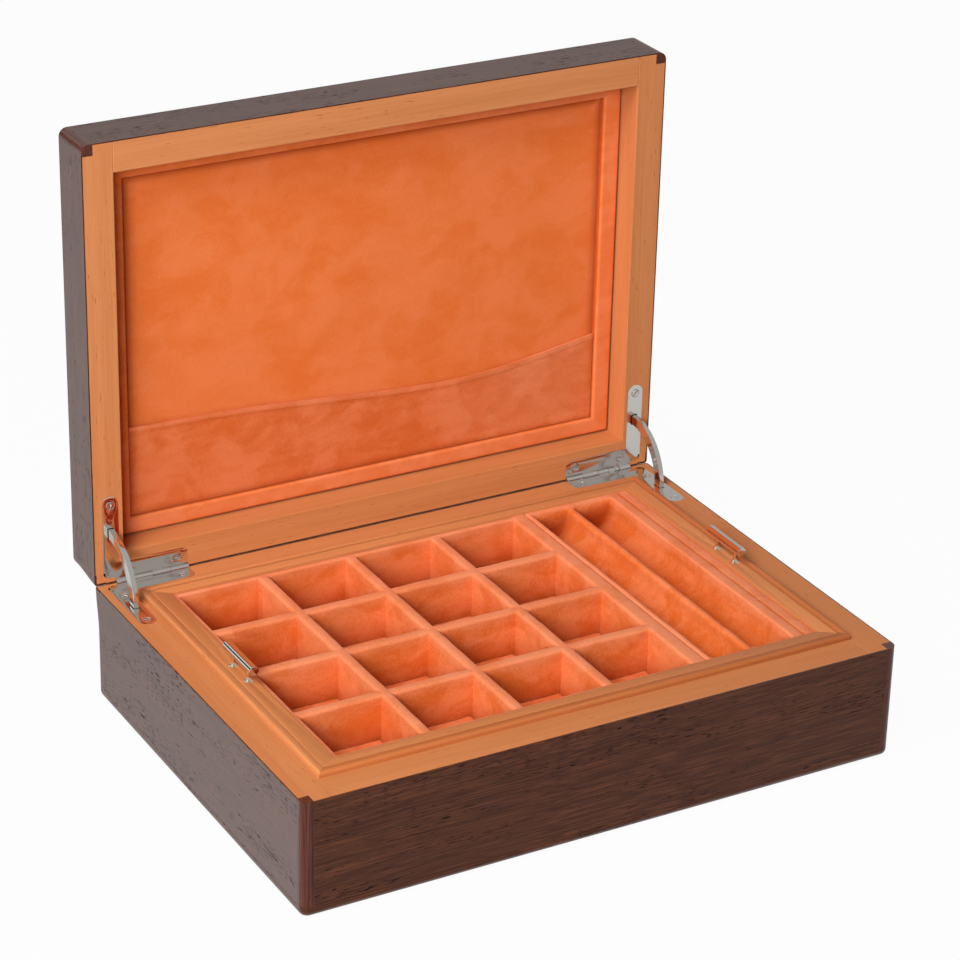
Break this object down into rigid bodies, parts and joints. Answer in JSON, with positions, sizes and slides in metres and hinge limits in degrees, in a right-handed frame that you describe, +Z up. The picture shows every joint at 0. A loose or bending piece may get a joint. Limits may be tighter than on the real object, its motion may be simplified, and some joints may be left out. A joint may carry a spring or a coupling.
{
  "type": "cufflink display box",
  "caption": "Open veneered wooden box with a cedar lining, a lift-out tray of suede cells and troughs, bar handles, a lid pocket and quadrant hinges.",
  "frame": {"origin": "centre of the base's underside, where it rests on a table", "axes": "+Z up, +X to the right along the box's long side, +Y towards the hinges"},
  "size_m": [0.3, 0.2421, 0.2734],
  "materials": {
    "dark_veneer": "satin open-grained dark hardwood veneer",
    "dark_solid_wood": "satin reddish dark solid hardwood",
    "cedar": "satin pinkish orange cedar",
    "orange_suede": "matt orange suede with a short nap",
    "polished_nickel": "mirror-polished nickel plate",
    "dark_baize": "matt dark felt on the underside"
  },
  "bodies": {
    "base": {"base_back_veneer": "dark_veneer", "base_back_wall": "cedar", "base_bottom_edging": "dark_solid_wood", "base_bottom_panel": "cedar", "base_corner_strip_back_left": "dark_solid_wood", "base_corner_strip_back_right": "dark_solid_wood", "base_corner_strip_front_left": "dark_solid_wood", "base_corner_strip_front_right": "dark_solid_wood", "base_floor_pad": "orange_suede", "base_front_veneer": "dark_veneer", "base_front_wall": "cedar", "base_hinge_leaf_left": "polished_nickel", "base_hinge_leaf_right": "polished_nickel", "base_left_veneer": "dark_veneer", "base_left_wall": "cedar", "base_liner_back": "cedar", "base_liner_front": "cedar", "base_liner_left": "cedar", "base_liner_right": "cedar", "base_right_veneer": "dark_veneer", "base_right_wall": "cedar", "base_underside_baize": "dark_baize", "hinge_pins": "polished_nickel", "tray_rest_cleats": "cedar"},
    "lid": {"lid_back_pad": "orange_suede", "lid_back_veneer": "dark_veneer", "lid_back_wall": "cedar", "lid_corner_strip_back_left": "dark_solid_wood", "lid_corner_strip_back_right": "dark_solid_wood", "lid_corner_strip_front_left": "dark_solid_wood", "lid_corner_strip_front_right": "dark_solid_wood", "lid_front_veneer": "dark_veneer", "lid_front_wall": "cedar", "lid_hinge_leaf_left": "polished_nickel", "lid_hinge_leaf_right": "polished_nickel", "lid_left_veneer": "dark_veneer", "lid_left_wall": "cedar", "lid_pocket": "orange_suede", "lid_right_veneer": "dark_veneer", "lid_right_wall": "cedar", "lid_suede_frame": "orange_suede", "lid_top_panel": "cedar", "lid_top_veneer": "dark_veneer"},
    "left_stay": {"stay_link_left": "polished_nickel"},
    "right_stay": {"stay_link_right": "polished_nickel"},
    "tray": {"cell_cross_dividers": "orange_suede", "cell_floor_pads": "orange_suede", "cell_long_dividers": "orange_suede", "cell_outer_liners": "orange_suede", "tray_back_rail": "cedar", "tray_bottom_board": "cedar", "tray_front_rail": "cedar", "tray_handle_bars": "polished_nickel", "tray_handle_posts": "polished_nickel", "tray_left_rail": "cedar", "tray_right_rail": "cedar", "trough_insert": "orange_suede"}
  },
  "joints": [
    {"name": "lid_hinge", "type": "hinge", "parent": "base", "child": "lid", "pos_m": [0, 0.108, 0.05735], "axis": [1, 0, 0], "range_deg": [0, 90]},
    {"name": "left_stay_swing", "type": "hinge", "parent": "base", "child": "left_stay", "pos_m": [-0.14135, 0.108, 0.05735], "axis": [1, 0, 0], "range_deg": [0, 45]},
    {"name": "right_stay_swing", "type": "hinge", "parent": "base", "child": "right_stay", "pos_m": [0.14135, 0.108, 0.05735], "axis": [1, 0, 0], "range_deg": [0, 45]},
    {"name": "tray_lift", "type": "slide", "parent": "base", "child": "tray", "axis": [0, 0, 1], "range_m": [0, 0.0012]}
  ],
  "couplings": [
    {"joint": "left_stay_swing", "follows": "lid_hinge", "ratio": 0.5},
    {"joint": "right_stay_swing", "follows": "lid_hinge", "ratio": 0.5}
  ]
}
